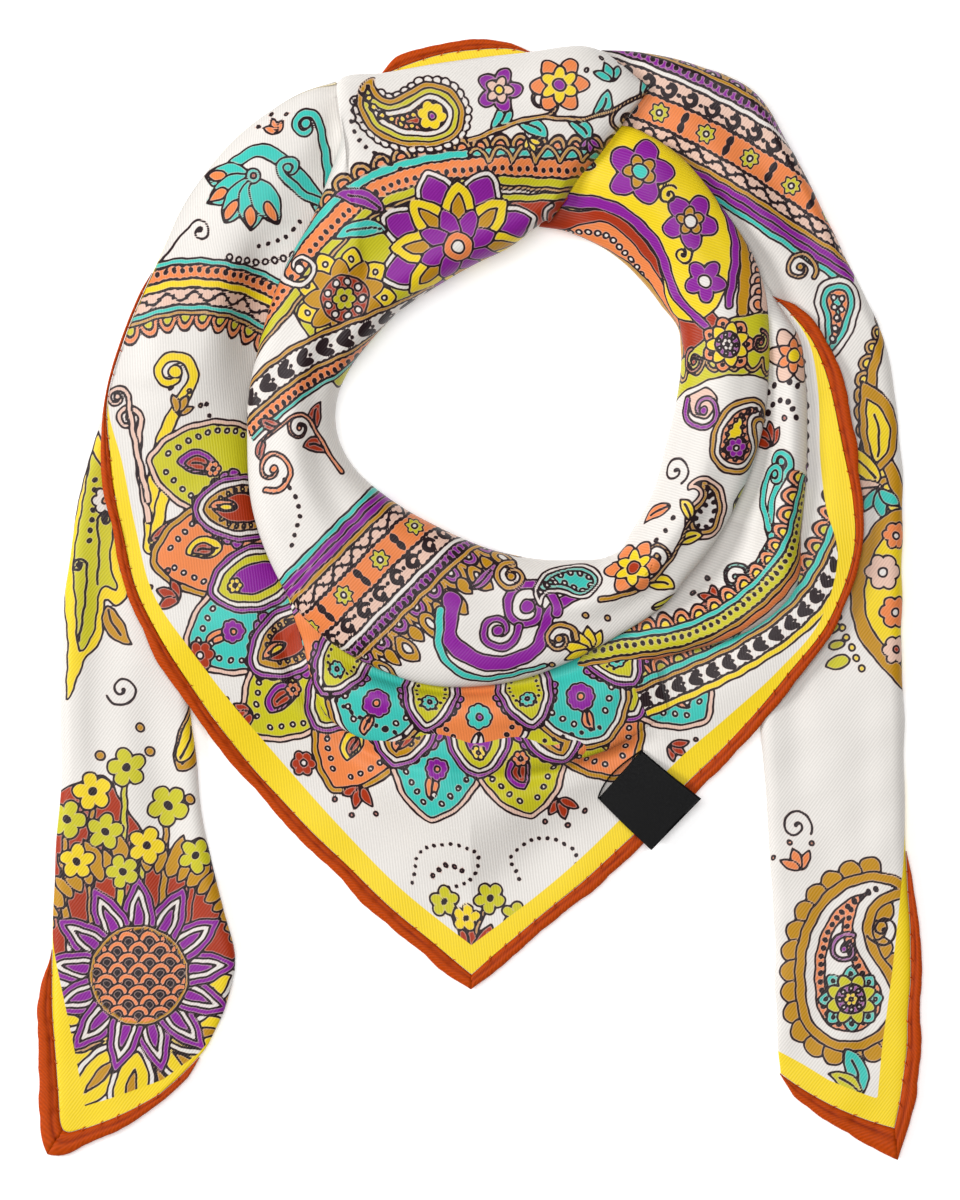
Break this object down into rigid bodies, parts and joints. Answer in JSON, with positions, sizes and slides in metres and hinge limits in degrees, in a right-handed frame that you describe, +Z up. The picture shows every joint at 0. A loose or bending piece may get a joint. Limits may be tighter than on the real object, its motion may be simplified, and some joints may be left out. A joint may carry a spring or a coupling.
{
  "type": "silk square scarf",
  "caption": "Printed silk square folded on the bias, rolled round an open neck and laid flat with its ends crossed behind, a hemmed corner hanging in front.",
  "frame": {"origin": "middle of the footprint on the surface the scarf lies on", "axes": "+X to the right as worn by a viewer looking down at the print, +Y towards the back of the neck, +Z up out of the surface"},
  "size_m": [0.2751, 0.3484, 0.0222],
  "materials": {
    "silk": "printed silk twill, soft sheen",
    "border": "yellow printed border of the same silk twill",
    "hem": "hand-rolled hem in rust silk",
    "label": "black woven satin, bare"
  },
  "bodies": {
    "root": {"collar_band": "silk", "right_roll": "silk", "right_fold": "silk", "front_panel": "silk", "front_swag": "silk", "left_tail": "silk", "right_tail": "silk", "under_strip": "border", "hem_front_left": "hem", "hem_front_right": "hem", "hem_left_side": "hem", "hem_left_end": "hem", "hem_right_side": "hem", "hem_right_end": "hem", "hem_back": "hem", "label": "label"}
  },
  "joints": []
}
